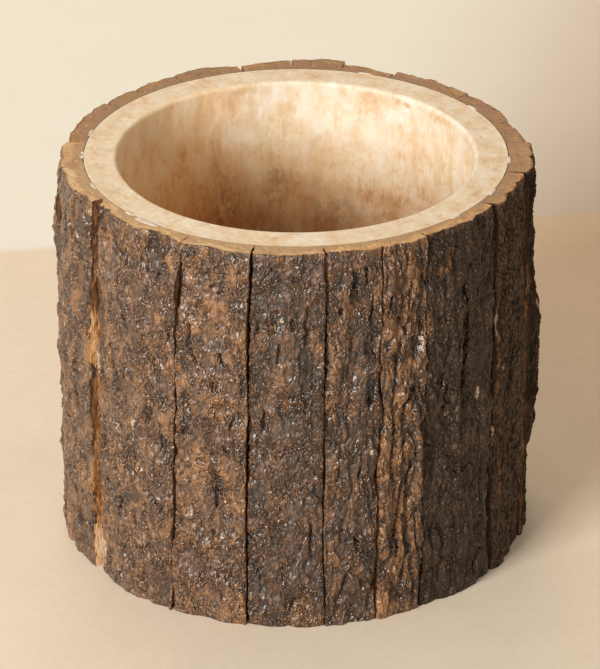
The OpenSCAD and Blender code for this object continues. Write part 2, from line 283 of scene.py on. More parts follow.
# Marks that stand out on single strips. Each one is: kind, distance from the left joint,
# height, half width, half height, and for some a lean (distance across for each unit of height).
MARKS = {
    1: [
        ("step", 47, 208, 7.5, 14), ("hole", 49.6, 194.8, 1.2, 1), ("dark", 46, 206, 5, 13),
        ("slit", 15, 180, 0.9, 5, -0.3), ("slit", 23, 177.5, 5, 0.8), ("slit", 59, 164.6, 0.9, 5),
        ("rust", 35.8, 117, 2.6, 4), ("pale", 35.7, 105.5, 2.4, 4), ("dark", 49, 126, 4, 6),
        ("dark", 6, 73, 4.5, 6), ("knob", 6, 73, 5, 7), ("slit", 24, 49, 0.9, 8, 0.15),
        ("slit", 21.5, 31, 0.8, 5), ("slit", 52.6, 60, 0.8, 5, -0.3), ("pale", 47.8, 29.7, 1.3, 2.2),
        ("rust", 38.4, 77, 1.3, 8), ("slit", 55, 99, 0.8, 6), ("slit", 57.5, 97, 0.8, 6),
        ("rust", 3, 195, 2.2, 18), ("rust", 3, 120, 2, 22), ("rust", 4, 45, 2.2, 26),
        ("pale", 2, 13, 4.5, 12, 0.1), ("pale", 1, 126, 1, 8), ("dark", 30, 190, 9, 7),
        ("rust", 9, 206, 8, 9), ("step", 6, 211, 6, 7),
    ],
    2: [
        ("hole", 19.7, 196.2, 1.6, 1.1, 0.4), ("hole", 23.7, 192.8, 1.1, 1.4),
        ("pale", 21.5, 194.2, 1.8, 0.9), ("rust", 22, 178, 10, 13), ("rust", 20, 154, 3.4, 4.6),
        ("slit", 8.2, 166, 1, 7, 0.05), ("slit", 26.4, 156, 0.9, 4, -0.4), ("slit", 38, 141, 1.2, 6),
        ("rust", 39.4, 131, 2.2, 7), ("pale", 9.6, 63, 1, 3, -0.2), ("pale", 19, 47.4, 0.6, 2.6),
        ("rust", 40, 88, 1.6, 13), ("slit", 30, 101, 1, 5, -0.5), ("rust", 3.2, 208, 1.8, 5),
        ("step", 6, 120, 3, 15), ("rust", 36, 4, 4, 5), ("rust", 38, 2, 2.5, 3.5), ("dark", 13, 166, 4, 6),
        ("dark", 33, 110, 5, 5), ("slit", 0.2, 187, 1.3, 20), ("pale", 41.5, 212, 0.9, 3.5),
    ],
    3: [
        ("slit", 30, 177.7, 1.3, 12, 0.06), ("slit", 22, 178.4, 1.1, 3.6), ("pale", 17, 180.6, 1.3, 1.4),
        ("knob", 17, 180.6, 1.6, 1.8), ("rust", 17.4, 132, 4, 4), ("rust", 36, 165, 2, 4),
        ("rust", 33.5, 5, 4, 5), ("rust", 37, 3, 2.5, 4), ("dark", 27, 160, 4, 16),
        ("step", 30, 150, 5, 18), ("slit", 33, 52, 0.7, 14), ("dark", 6, 190, 4, 9),
    ],
    4: [
        ("rust", 1, 203, 1, 14), ("hole", 7.5, 184, 1.5, 2.2), ("step", 24, 164, 4, 9, 0.1),
        ("step", 23, 136, 3.4, 9, 0.1), ("knob", 24, 100, 4, 5), ("pale", 24, 101, 1.4, 1.8),
        ("rust", 13, 184, 5, 5), ("knob", 5, 136, 3, 4), ("rust", 1.2, 83, 1.2, 1.4),
        ("rust", 1.3, 74, 1.2, 1.4), ("slit", 14.5, 196, 0.9, 9, 0.12), ("dark", 16, 196, 4, 10),
    ],
    5: [
        ("rust", 3.6, 160, 3, 30), ("slit", 12.2, 170, 1.3, 6, -0.4), ("slit", 15, 128, 1.3, 7, 0.4),
        ("rust", 17, 207, 2, 7), ("rust", 19, 189, 2, 9), ("slit", 10, 40, 0.9, 5),
        ("slit", 16, 42, 1.2, 9, -0.1), ("rust", 8, 120, 4, 12), ("knob", 19, 188, 2, 8),
        ("slit", 18, 84, 1.1, 10, 0.35), ("rust", 12, 60, 4, 14), ("knob", 20, 118, 2.6, 8, 0.1),
    ],
    6: [
        ("rust", 1.2, 166, 1.4, 7), ("rust", 14, 200, 3, 6, 0.3), ("rust", 9.5, 194, 2, 4),
        ("slit", 27, 139, 0.7, 40), ("pale", 37, 115, 0.7, 4, 0.05), ("slit", 12, 120, 0.9, 14, 0.05),
        ("slit", 40, 60, 0.8, 16), ("dark", 22, 190, 9, 16),
    ],
    7: [
        ("pale", 1.6, 83, 1, 3.5), ("pale", 35, 58, 0.9, 3.2), ("rust", 8, 60, 1.4, 40),
        ("rust", 2, 130, 1, 30), ("pale", 0.8, 146, 1.1, 7, 0.03), ("slit", 20, 120, 0.9, 20, 0.05),
    ],
    8: [
        ("rust", 0, 85, 4.5, 88), ("rust", 20, 60, 1.6, 16), ("pale", 22, 130, 0.8, 3.5),
        ("rust", 30, 110, 5, 25), ("knob", 22, 104, 8, 48),
    ],
    20: [
        ("slit", 21.6, 129, 1.1, 3.4, 0.3), ("slit", 36, 60, 0.9, 3), ("slit", 35, 40, 1.1, 9, 0.15),
        ("pale", 36, 193.5, 1, 5), ("pale", 45.5, 211, 2.4, 2.2), ("pale", 46, 185, 1, 2),
        ("rust", 42.6, 147, 3, 16), ("dark", 38, 199, 7, 12), ("knob", 38, 199, 6, 10),
        ("dark", 45, 22, 4, 4), ("rust", 44, 60, 3, 20), ("knob", 44, 22, 4, 4),
        ("step", 30, 20, 5, 12, 0.2),
    ],
}


def furrow_field(u, z, spacing, seed):
    """Braided upright furrows: 0 on the ridges, -1 in the furrows, which fade in places."""
    bend = 0.35 * spacing * perlin(u, z, 2 * spacing, 4 * spacing, seed)
    n = perlin(u + bend, z, spacing, 6 * spacing, seed + 1)
    fade = 0.65 + 0.6 * perlin(u, z, 1.6 * spacing, 3.5 * spacing, seed + 2)
    return -np.clip(fade, 0, 1) * (1 - smooth(np.abs(n) / 0.24))


def ledge_field(u, z, seed):
    """Curved ledges: the bark rises slowly, from 0 to 1, and drops at once along lines that
    wander upward. Gives the rise and the share of each point that lies in a ledge's foot."""
    bend = 2.0 * layered(u, z, 5, 6, seed, 2)
    n = 1.5 * layered(u + bend, z + bend, 11, 20, seed + 1, 2)
    share = n - np.floor(n)
    strong = smooth(0.35 + 1.2 * perlin(u, z, 12, 20, seed + 3))
    foot = (1 - smooth(np.minimum(share, 1 - share) / 0.07)) * strong
    return strong * (1 - share) * smooth(share / 0.12), foot


def random_slits(strip, count):
    """Marks for narrow upright slits at random places."""
    rng = np.random.default_rng(strip.seed + 200)
    low, high = (3, 8, 0.4, 3, -0.3), (strip.width - 3, HEIGHT_MM - 8, 0.65, 11, 0.3)
    return [("slit", *rng.uniform(low, high)) for _ in range(count)]


def mark_share(strip, seed, kind, at_u, at_z, half_u, half_z, lean=0):
    """Share from 0 to 1 of a mark at each point, with an uneven edge."""
    u, z = strip.u, strip.z
    across = u - at_u - lean * (z - at_z)
    if kind == "slit":
        wander = 0.9 * layered(u, z, 6, 5, seed, 2)
        along = (z - at_z) / half_z if half_z > half_u else across / half_u
        off = (across + wander) / half_u if half_z > half_u else (z - at_z + wander) / half_z
        return np.clip(1 - along**2, 0, 1) ** 0.6 * np.exp(-(off**2))
    size = math.sqrt(half_u * half_z)
    uneven = 0.35 * layered(u, z, 0.8 * size, 1.1 * size, seed, 3, 0.6)
    soft = {"dark": 0.6, "step": 0.12}.get(kind, 0.25)
    return smooth((1 + uneven - np.hypot(across / half_u, (z - at_z) / half_z)) / soft)


def relief(strip, look):
    """Fine relief of the strip's face in millimetres, its flakes' random numbers, and the
    share of each point that lies in a crack between flakes or at a ledge's foot, which is darkened as
    painted shade."""
    u, z, seed = strip.u, strip.z, strip.seed
    # Furrows, shallower toward the sawn ends
    furrows = look["furrows"] * furrow_field(u, z, look["spacing"], seed + 7)
    furrows = furrows + 0.35 * look["furrows"] * furrow_field(u, z, look["spacing"] / 2.2, seed + 9)
    end = np.minimum(z, HEIGHT_MM - z)
    furrows = furrows * (0.3 + 0.7 * smooth(end / strip.detail["fade"]))
    # Plates that lie high or low, and slow waves
    bend = 2.5 * perlin(u, z, 9, 12, seed + 11)
    edge, _, value = cells(u + bend, z + 2 * bend, 9, 17, seed + 13)
    plates = look["plates"] * value[0] * smooth(edge / 0.10)
    waves = 0.6 * perlin(u, z, 8, 11, seed + 14)
    # Flakes, each tilted its own way, and the cracks round some
    bend = 1.6 * layered(u, z, 6, 7, seed + 15, 3, 0.6)
    edge, offset, flake = cells(u + bend, z - bend, *look["flake"], seed + 16)
    tilted = 0.35 * flake[0] + flake[1] * offset[0] + 1.3 * flake[2] * offset[1]
    strong = 0.75 + 0.6 * perlin(u, z, 11, 15, seed + 18)
    cracks = (1 - smooth(edge / 0.12)) * smooth(0.3 + 1.6 * perlin(u, z, 10, 14, seed + 17))
    flakes = look["flakes"] * strong * (tilted * smooth(edge / 0.16) - 0.8 * cracks)
    # Grains
    edge, _, value = cells(u + 0.6 * perlin(u, z, 3, 3, seed + 19), z, 2.4, 2.8, seed + 20)
    grain = look["grain"] * (smooth(edge / 0.8) - 0.6 + 0.4 * value[0])
    grain = grain + 1.5 * look["grain"] * perlin(u, z, 3.6, 4.6, seed + 21)
    rise, foot = ledge_field(u, z, seed + 25)
    ledges = look["ledges"] * rise
    # Worn sides, chipped ends, and calmer relief near the ends
    side = np.minimum(u, strip.width - u)
    wear_w = 0.8 + 0.6 * perlin(u * 0, z, 9, 9, seed + 29)
    wear = (0.4 + 0.7 * perlin(u * 0, z, 9, 7, seed + 23)) * (1 - smooth(side / wear_w))
    chips = (0.1 + 0.5 * layered(u, z * 0, 6, 6, seed + 37)) * (1 - smooth(end / 1.2))
    calm = 0.25 + 0.75 * smooth(end / 6)
    shape = furrows + plates + waves + calm * (flakes + grain + ledges)
    shape = shape - np.clip(wear, 0, 2) - np.clip(chips, 0, 1.2)
    return shape, flake, np.maximum(cracks, foot * min(1, look["ledges"]))


def dressed_face(strip, look):
    """The face's radius, and its tone, rust, hollow and pale masks from 0 to 1. Hollow is painted shade;
    pale is pale chips and painted glints.
    """
    u, z, seed = strip.u, strip.z, strip.seed
    shape, flake, cracks = relief(strip, look)
    marks = MARKS.get(strip.number, []) + random_slits(strip, look["slits"])
    amount = {kind: np.zeros(u.shape) for kind in MARK_DEPTH}
    for n, mark in enumerate(marks):
        share = mark_share(strip, seed + 300 + 7 * n, *mark)
        shape = shape + MARK_DEPTH[mark[0]] * share
        amount[mark[0]] = np.maximum(amount[mark[0]], share)
    proud = (shape - strip.soften(shape, 2.5, 3.5)) / 0.8
    # Hollow is painted shade: it darkens what lies low, and what is cracked, slit or holed
    crack_shade = np.maximum(0.7 * amount["slit"], 0.9 * amount["hole"])
    hollow = np.maximum.reduce([smooth(0.22 - 0.6 * proud), crack_shade, cracks])
    tone = look["tone"] + 0.24 * layered(u, z, 12, 22, seed + 41, 3) + 0.08 * flake[3]
    # Dark marks are darker bark; sunken steps are darkened as painted shade
    tone = tone - 0.14 * amount["dark"] - 0.1 * amount["step"]
    patch = layered(u + 1.5 * perlin(u, z, 6, 10, seed + 45), z, 9, 20, seed + 47, 3, 0.6)
    # Rust lies in patches, along the sides and under the rim
    edge = 1 - smooth(np.minimum(u, strip.width - u) / 1.2)
    at_side = 0.4 * edge * (0.4 + perlin(u, z, 6, 20, seed + 53))
    at_top = smooth(1.2 * layered(u, z, 5, 4, seed + 55, 2) + 0.3) * (1 - smooth((HEIGHT_MM - z) / 4))
    rust = look["rust"] * (0.25 + 2.2 * patch + 0.25 * flake[0]) + at_side + 1.0 * at_top
    rust = rust + 1.2 * amount["rust"] - 0.6 * amount["dark"]
    # Painted glints: pale specks on what stands proud
    glint_speck = layered(u, z, 1.5, 2.0, seed + 59, 2) + 0.4 * perlin(u, z, 16, 26, seed + 61)
    pale = 0.5 * smooth((glint_speck - 0.8) / 0.35) * smooth(0.6 + 0.5 * proud)
    masks = (np.clip(tone, 0, 1), smooth(rust), hollow, np.maximum(pale, amount["pale"]))
    return strip.radius + shape, masks


def turned(angle, radius, z):
    """Rows of x, y and z for points given by their angle, radius and height."""
    x, y = radius * np.cos(angle), radius * np.sin(angle)
    return np.stack([x, y, np.broadcast_to(z, x.shape)], -1).reshape(-1, 3)


def new_mesh(name, points, faces):
    """A mesh from points in millimetres."""
    mesh = bpy.data.meshes.new(name)
    mesh.from_pydata((points * MM).tolist(), [], faces)
    return mesh


def grid_faces(ids, flip):
    """Quads over a grid of point numbers."""
    a, b, c, d = ids[:-1, :-1], ids[1:, :-1], ids[1:, 1:], ids[:-1, 1:]
    quads = np.stack([a, d, c, b] if flip else [a, b, c, d], -1).reshape(-1, 4)
    return quads.tolist()


def zipper(many, few, flip):
    """Triangles between two rows of point numbers that run side by side."""
    faces, i, j = [], 0, 0
    last_i, last_j = len(many) - 1, len(few) - 1
    while i < last_i or j < last_j:
        if j == last_j or (i < last_i and (i + 1) / last_i <= (j + 1) / last_j):
            face = (many[i], many[i + 1], few[j])
            i += 1
        else:
            face = (many[i], few[j + 1], few[j])
            j += 1
        faces.append(face[::-1] if flip else face)
    return faces


def strip_mesh(strip, face_r, masks, look):
    """A closed mesh: the furrowed face, sawn ends, split sides and hollow back. It stores the
    face's four masks, the tones of the ends and sides in the first two masks of the other
    points, and each point's depth below the face in millimetres."""
    height = strip.z[0]
    last = len(height) - 1
    points, depths, count = [], [], 0

    def add(angle, radius, z, depth):
        nonlocal count
        points.append(turned(angle, radius, z))
        depths.append(depth.reshape(-1))
        ids = np.arange(count, count + angle.size).reshape(angle.shape)
        count += angle.size
        return ids

    across = strip.angle
    face = add(across, face_r, strip.z, np.zeros(face_r.shape))
    share = np.linspace(0, 1, BACK_STEPS + 1)[:, None]
    back_left = across[0] - strip.reach / strip.back_r
    back_angle = back_left + share * (across[-1] - back_left)
    # The back reaches a little further in at the ends
    lip = layered(back_angle * CORE_R_MM, back_angle * 0, 7, 7, strip.seed + 81)
    lip = np.clip(0.5 + 0.3 * lip, 0, 0.6)
    end = np.minimum(height, HEIGHT_MM - height)
    back_r = strip.back_r - lip * (1 - smooth(end / 2))[None, :]
    back = add(back_angle, back_r, height, np.full(back_r.shape, BACK_DEPTH_MM))
    faces, kinds = [], []

    def keep(new, kind):
        faces.extend(new)
        kinds.extend([kind] * len(new))

    keep(grid_faces(face, False), FACE)
    keep(grid_faces(back, True), SPLIT)
    # Split sides, hollowed between face and back
    inward = np.linspace(0, 1, DEPTH_STEPS + 1)[1:-1]
    midway = np.sin(math.pi * inward)[:, None]
    sides = []
    at_end = 0.45 * (1 - smooth(end / 1.5))
    for col, turn, reach, gap in ((0, 1, strip.reach, strip.gaps[0]), (-1, -1, 0, strip.gaps[1])):
        outer, inner = face_r[col], back_r[col]
        radius = outer + inward[:, None] * (inner - outer)
        z = np.broadcast_to(height, radius.shape)
        rough = layered(radius, z, 3, 8, strip.seed + 70 + turn, 3, 0.6)
        hollow = midway * np.clip(0.4 - 0.7 * rough, 0, 1)
        lean = reach * smooth((inward - 0.2) / 0.6)[:, None] + at_end * gap * smooth(4 * inward)[:, None]
        angle = across[col] + turn * (hollow - lean) / radius
        middle = add(angle, radius, z, outer - radius)
        side = np.vstack([face[col][None], middle, back[col][None]])
        keep(grid_faces(side, col == 0), SPLIT)
        sides.append(side)
    # Sawn ends, a little worn
    for row, z in ((0, 0.0), (last, HEIGHT_MM)):
        outer = face_r[1:-1, row][None, :]
        inner = np.interp(across[1:-1, row], back_angle[:, row], back_r[:, row])[None, :]
        radius = outer + inward[:, None] * (inner - outer)
        angle = np.broadcast_to(across[1:-1, row], radius.shape)
        worn = layered(across[1:-1, row] * CORE_R_MM, radius, 5, 4, strip.seed + 91, 3, 0.6)
        worn = 0.5 * smooth(worn) * midway
        middle = add(angle, radius, z + (worn if z == 0 else -worn), outer - radius)
        cap = np.column_stack([sides[0][1:-1, row], middle, sides[1][1:-1, row]])
        cap = np.vstack([face[:, row][None], cap])
        keep(grid_faces(cap, row > 0), SAWN)
        keep(zipper(cap[-1].tolist(), back[:, row].tolist(), row == 0), SAWN)
    mesh = new_mesh(strip.name, np.vstack(points), faces)
    mesh.polygons.foreach_set("material_index", kinds)
    mesh.polygons.foreach_set("use_smooth", [kind != SAWN for kind in kinds])
    rest = np.zeros((len(mesh.vertices), 4), np.float32)
    rest[:, 0], rest[:, 1] = look["end"], look["side"]
    if strip.number == GROOVE_WALL_STRIP:
        rest[sides[1], 1] = np.interp(height, GROOVE_WALL_MM, GROOVE_WALL_TONES)
    store_masks(mesh, masks, rest)
    mesh.attributes.new("depth", "FLOAT", "POINT").data.foreach_set("value", np.concatenate(depths))
    return mesh


def store_masks(mesh, masks, rest):
    """Stores four masks at the mesh's first points, and the rows of rest at the others."""
    values = np.stack([m.reshape(-1) for m in masks], -1)
    rest[:len(values)] = values
    mesh.attributes.new("masks", "FLOAT_COLOR", "POINT").data.foreach_set("color", rest.reshape(-1))


class Nodes:
    """Short calls for building a material's node tree."""

    def __init__(self, name):
        self.material = bpy.data.materials.new(name)
        self.material.use_nodes = True
        self.tree = self.material.node_tree
        self.tree.nodes.clear()
        out = self.new("ShaderNodeOutputMaterial")
        self.shader = self.new("ShaderNodeBsdfPrincipled")
        self.link(self.shader.outputs[0], out.inputs["Surface"])
        self.place = self.new("ShaderNodeTexCoord").outputs["Object"]

    def new(self, kind, **settings):
        node = self.tree.nodes.new(kind)
        for key, value in settings.items():
            setattr(node, key, value)
        return node

    def link(self, a, b):
        self.tree.links.new(a, b)

    def put(self, socket, value):
        """Sets an input to another node's output, a colour or a number."""
        if isinstance(value, bpy.types.NodeSocket):
            self.link(value, socket)
        elif socket.type == "RGBA":
            socket.default_value = (*value, 1)
        else:
            socket.default_value = value

    def masks(self):
        """The mesh's four masks."""
        node = self.new("ShaderNodeAttribute", attribute_name="masks")
        parts = self.new("ShaderNodeSeparateColor")
        self.link(node.outputs["Color"], parts.inputs[0])
        return (*parts.outputs, node.outputs["Alpha"])

    def depth(self):
        """Depth below a strip's face in millimetres."""
        return self.new("ShaderNodeAttribute", attribute_name="depth").outputs["Fac"]

    def distance(self, direction):
        """Distance in metres along a direction."""
        node = self.new("ShaderNodeVectorMath", operation="DOT_PRODUCT")
        self.link(self.place, node.inputs[0])
        node.inputs[1].default_value = direction
        return node.outputs["Value"]

    def noise(self, up, size_mm, detail=3, rough=0.55, warp=0, along=1):
        """Noise, drawn out along Z where up is under 1, and along X where along is."""
        place = self.new("ShaderNodeMapping")
        self.link(self.place, place.inputs["Vector"])
        place.inputs["Scale"].default_value = (along, 1, up)
        node = self.new("ShaderNodeTexNoise")
        self.link(place.outputs[0], node.inputs["Vector"])
        node.inputs["Scale"].default_value = 1 / (size_mm * MM)
        node.inputs["Detail"].default_value = detail
        node.inputs["Roughness"].default_value = rough
        node.inputs["Distortion"].default_value = warp
        return node.outputs["Fac"]

    def math(self, operation, a, b=0.0, c=0.0):
        node = self.new("ShaderNodeMath", operation=operation)
        for socket, value in zip(node.inputs, (a, b, c)):
            self.put(socket, value)
        return node.outputs[0]

    def times(self, a, b, plus=0.0):
        """a * b + plus."""
        return self.math("MULTIPLY_ADD", a, b, plus)

    def fade(self, value, low, high, to_low=0.0, to_high=1.0):
        """Smooth change from to_low to to_high as value goes from low to high."""
        node = self.new("ShaderNodeMapRange", interpolation_type="SMOOTHSTEP")
        for socket, v in zip(node.inputs, (value, low, high, to_low, to_high)):
            self.put(socket, v)
        return node.outputs[0]

    def mix(self, share, a, b, blend="MIX"):
        node = self.new("ShaderNodeMix", data_type="RGBA", blend_type=blend)
        self.put(node.inputs["Factor"], share)
        self.put(node.inputs["A"], a)
        self.put(node.inputs["B"], b)
        return node.outputs["Result"]

    def ramp(self, value, stops):
        node = self.new("ShaderNodeValToRGB")
        elements = node.color_ramp.elements
        while len(elements) < len(stops):
            elements.new(0.5)
        for element, (at, color) in zip(elements, stops):
            element.position = at
            element.color = (*color, 1)
        self.link(value, node.inputs[0])
        return node.outputs[0]

    def bump(self, height, strength, distance_mm):
        node = self.new("ShaderNodeBump")
        self.put(node.inputs["Strength"], strength)
        node.inputs["Distance"].default_value = distance_mm * MM
        self.link(height, node.inputs["Height"])
        return node.outputs[0]

    def finish(self, color, normal=None, roughness=0.7, **sockets):
        self.put(self.shader.inputs["Base Color"], color)
        self.put(self.shader.inputs["Roughness"], roughness)
        if normal is not None:
            self.link(normal, self.shader.inputs["Normal"])
        for key, value in sockets.items():
            self.shader.inputs[key.replace("_", " ")].default_value = value
        return self.material


# Bark colours, as linear values
# The first is painted shade for crevices and creases on the face, and the blackest bark of the split sides
CREVICE_SHADE_AND_BLACK_BARK = (0.013, 0.005, 0.002)
BLACK_BARK = (0.024, 0.011, 0.005)
DARK_BARK = (0.068, 0.026, 0.009)
MID_BARK = (0.132, 0.056, 0.021)
LIGHT_BARK = (0.320, 0.192, 0.108)
RUST = (0.370, 0.172, 0.062)
DEEP_RUST = (0.185, 0.082, 0.029)
# Colour of pale chips and of the painted glints
PALE_CHIP_AND_GLINT = (0.540, 0.410, 0.280)
# The glossiest bark's specular level and coat, and the coat's roughness
BARK_SPECULAR = 0.8
BARK_COAT = 0.5
COAT_ROUGHNESS = 0.12
# Each finish: its dark, middle and light colours, its share of that gloss, and its roughness
# where it shines most
VARNISHED = (DARK_BARK, MID_BARK, LIGHT_BARK, 1.0, 0.18)
FINISHES = {
    "bark_brown": VARNISHED,
    "bark_dark": VARNISHED,
    "bark_orange": (DARK_BARK, (0.172, 0.075, 0.026), (0.390, 0.228, 0.105), 0.9, 0.20),
    "bark_worn": ((0.058, 0.028, 0.013), (0.105, 0.062, 0.037), (0.190, 0.128, 0.083), 0.5, 0.25),
    "bark_matte": ((0.062, 0.037, 0.024), (0.110, 0.073, 0.050), (0.190, 0.137, 0.098), 0.15, 0.5),
}
# Strips whose finish isn't their slot's. On the shaded side, their darker, duller colours are partly
# painted shade.
OTHER_FINISHES = {6: "bark_worn", 7: "bark_matte", 8: "bark_matte"}


def bark_face_material(name, dark, middle, light, gloss, least_roughness):
    """Crumbly varnished bark. It glints where its granules face the light, but for the calm
    patches between."""
    n = Nodes(name)
    tone, rust, hollow, pale = n.masks()
    granule = n.math("ABSOLUTE", n.times(n.noise(0.6, 2.4, 0, 0.5, 0.6), 2.0, -1.0))
    fine = n.noise(0.65, 1.2, 0, 0.5, 0.5)
    fold = n.math("ABSOLUTE", n.times(n.noise(0.7, 4.5, 1, 0.5, 0.8), 4.0, -2.0))
    crease = n.fade(fold, 0.03, 0.16, 1.0, 0.0)
    crease = n.times(crease, n.fade(n.noise(0.7, 9, 2), 0.46, 0.56))
    tint = n.noise(0.85, 1.3, 3, 0.7, 0.4)
    height = n.times(tint, 0.1, n.times(fine, 0.70, n.times(crease, -0.2, granule)))
    # Colour darker in the pits of the granules and fine bumps, as painted shade, over a random tint
    tint_and_pit_shade = n.times(tint, 1.4, n.math("ADD", granule, n.math("ADD", fine, -1.53)))
    stops = [(0.0, BLACK_BARK), (0.2, dark), (0.55, middle), (1.0, light)]
    color = n.ramp(n.math("ADD", tone, tint_and_pit_shade), stops)
    blotch = n.fade(n.noise(0.6, 4.0, 1, 0.5), 0.34, 0.58, 0.55)
    rusty = n.times(rust, blotch)
    rust_color = n.mix(n.fade(n.times(tone, 0.8, tint), 0.5, 1.3), DEEP_RUST, RUST)
    color = n.mix(n.times(rusty, 0.92), color, rust_color)
    # Painted shade: hollows, cracks and creases darken toward the crevice shade colour
    color = n.mix(n.times(hollow, 0.8), color, n.mix(0.8, color, CREVICE_SHADE_AND_BLACK_BARK))
    color = n.mix(n.times(crease, 0.7), color, CREVICE_SHADE_AND_BLACK_BARK)
    # Pale chips, and pale specks as painted glints
    color = n.mix(n.times(pale, n.fade(tint, 0.36, 0.5)), color, PALE_CHIP_AND_GLINT)
    glossy = n.fade(n.noise(0.7, 12, 3, 0.65), 0.40, 0.55)
    normal = n.bump(height, n.times(glossy, 0.6, 0.4), 2.0)
    rough = n.fade(glossy, 0, 1, least_roughness + 0.4, least_roughness)
    return n.finish(color, normal, rough, Specular_IOR_Level=gloss * BARK_SPECULAR,
                    Coat_Weight=gloss * BARK_COAT, Coat_Roughness=COAT_ROUGHNESS)


def bark_end_material(name):
    """Sawn ends: tan granular layers under a thin dark outer layer, and duller inside."""
    n = Nodes(name)
    tone, depth = n.masks()[0], n.depth()
    grain = n.noise(1, 1.1, 4, 0.65)
    broad = n.noise(1, 8, 3, 0.6)
    value = n.math("ADD", tone, n.times(grain, 0.8, n.times(broad, 0.6, -0.7)))
    stops = [(0.0, (0.160, 0.085, 0.040)), (0.35, (0.40, 0.225, 0.105)), (0.7, (0.65, 0.385, 0.170)),
             (1.0, (0.78, 0.55, 0.29))]
    color = n.ramp(value, stops)
    outer = n.math("ADD", depth, n.times(broad, 5.0, -3.0))
    outer = n.math("ADD", outer, n.times(grain, 2.0, -1.0))
    color = n.mix(n.fade(outer, -0.4, 0.8, 0.8, 0.0), color, n.mix(grain, DARK_BARK, RUST))
    orange = n.fade(n.noise(1, 5, 4, 0.7, 0.5), 0.50, 0.64, 0.0, 0.6)
    color = n.mix(orange, color, (0.55, 0.27, 0.095))
    inner = n.times(n.noise(1, 22, 3, 0.6), 16.0, n.math("ADD", depth, -9.0))
    color = n.mix(n.fade(inner, 2.0, 4.5, 0.0, 0.5), color, (0.350, 0.205, 0.115))
    return n.finish(color, n.bump(grain, 0.6, 0.5), roughness=0.75)


def bark_side_material(name):
    """Split sides and backs: dark bark near the face and rusty inner bark below it."""
    n = Nodes(name)
    tone, depth = n.masks()[1], n.depth()
    fibre = n.noise(0.16, 1.2, 4, 0.65, 0.6)
    broad = n.noise(0.2, 6, 4, 0.65, 0.4)
    value = n.times(tone, 0.24, n.times(fibre, 0.45, n.times(broad, 0.55, -0.14)))
    stops = [(0.38, (0.035, 0.014, 0.006)), (0.50, (0.260, 0.110, 0.036)), (0.57, (0.60, 0.29, 0.100)),
             (0.66, (0.88, 0.50, 0.22)), (0.78, (0.92, 0.70, 0.46))]
    inner = n.ramp(value, stops)
    below = n.times(broad, -9.0, n.times(tone, 3.0, n.math("ADD", depth, 2.5)))
    color = n.mix(n.fade(below, 0.0, 1.2), n.mix(fibre, CREVICE_SHADE_AND_BLACK_BARK, MID_BARK), inner)
    return n.finish(color, n.bump(fibre, 1.0, 1.6), roughness=0.6)


def core_material(name):
    """Bare pale wood with upright grain inside. The masks give its amber stains, its dirt stains, which
    deep in the bore are partly painted shade, its tone with painted light and shade in the bore, and how
    near a point of the bore is to its warm side. That side gets a warm tint of painted bounce light, and
    the opposite side a dull tint of painted shade."""
    n = Nodes(name)
    amber, dirt_and_shade, tone_light_and_shade, side = n.masks()
    fibre = n.noise(0.06, 1.1, 4, 0.65, 0.2)
    band = n.noise(0.10, 5, 3, 0.6, 0.3)
    mottle = n.noise(0.6, 3, 5, 0.7, 0.5)
    fine = n.times(fibre, 0.32, n.times(band, 0.30, -0.31))
    fine = n.math("ADD", fine, n.times(mottle, 0.95, -0.475))
    stops = [(0.0, (0.34, 0.128, 0.041)), (0.3, (0.67, 0.405, 0.198)), (0.55, (0.81, 0.620, 0.395)),
             (0.8, (0.880, 0.775, 0.605)), (1.0, (0.915, 0.865, 0.760))]
    color = n.ramp(n.math("ADD", tone_light_and_shade, fine), stops)
    patchy = n.fade(n.times(fibre, 0.25, n.times(mottle, 0.75)), 0.36, 0.6)
    color = n.mix(n.times(amber, patchy), color, (0.64, 0.400, 0.180))
    specks = n.times(fibre, 0.2, n.times(mottle, 0.8))
    color = n.mix(n.times(dirt_and_shade, n.fade(specks, 0.38, 0.62)), color, (0.210, 0.085, 0.038))
    # Painted warm bounce light on the warm side of the bore, and painted shade on the opposite side
    color = n.mix(n.fade(side, 0.70, 0.92), color, (1.18, 1.01, 0.82), "MULTIPLY")
    color = n.mix(n.fade(side, 0.60, 0.30), color, (0.95, 0.96, 0.99), "MULTIPLY")
    return n.finish(color, n.bump(fine, 0.5, 0.5), roughness=0.55)


def floor_disc_material(name):
    """A plank's grain along X, a little darker than the wall."""
    n = Nodes(name)
    grain = n.noise(1, 2.0, 4, 0.6, 0.4, along=0.05)
    rings = n.noise(1, 16, 3, 0.55, along=0.12)
    value = n.times(grain, 0.5, n.times(rings, 0.5))
    color = n.ramp(value, [(0.36, (0.36, 0.215, 0.105)), (0.62, (0.66, 0.48, 0.29))])
    return n.finish(color, n.bump(grain, 0.4, 0.4), roughness=0.65)


def glue_material(name):
    n = Nodes(name)
    lump = n.noise(1, 2.0, 3, 0.6)
    color = n.ramp(lump, [(0.35, (0.60, 0.50, 0.37)), (0.6, (0.80, 0.74, 0.64))])
    return n.finish(color, n.bump(lump, 0.4, 0.4), roughness=0.6)


def add_object(name, mesh):
    piece = bpy.data.objects.new(name, mesh)
    bpy.context.scene.collection.objects.link(piece)
    return piece


def dress_strips():
    faces = {name: bark_face_material(name, *finish) for name, finish in FINISHES.items()}
    end, side = bark_end_material("bark_end"), bark_side_material("bark_side")
    slots = {p["node"]: p["material_slot"] for p in frame["record"]["subparts"]}
    strips = [Strip(name) for name in STRIP_NODES]
    for before, strip in zip(strips[-1:] + strips[:-1], strips):
        fit_joint(before, strip)
    for strip in strips:
        look = PLAIN | LOOKS.get(strip.number, {})
        mesh = strip_mesh(strip, *dressed_face(strip, look), look)
        finish = OTHER_FINISHES.get(strip.number, slots[strip.name])
        for material in (faces[finish], end, side):
            mesh.materials.append(material)
        piece = add_object(strip.name.replace("bark_strip", "bark"), mesh)
        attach(piece, "root")
        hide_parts(strip.name)


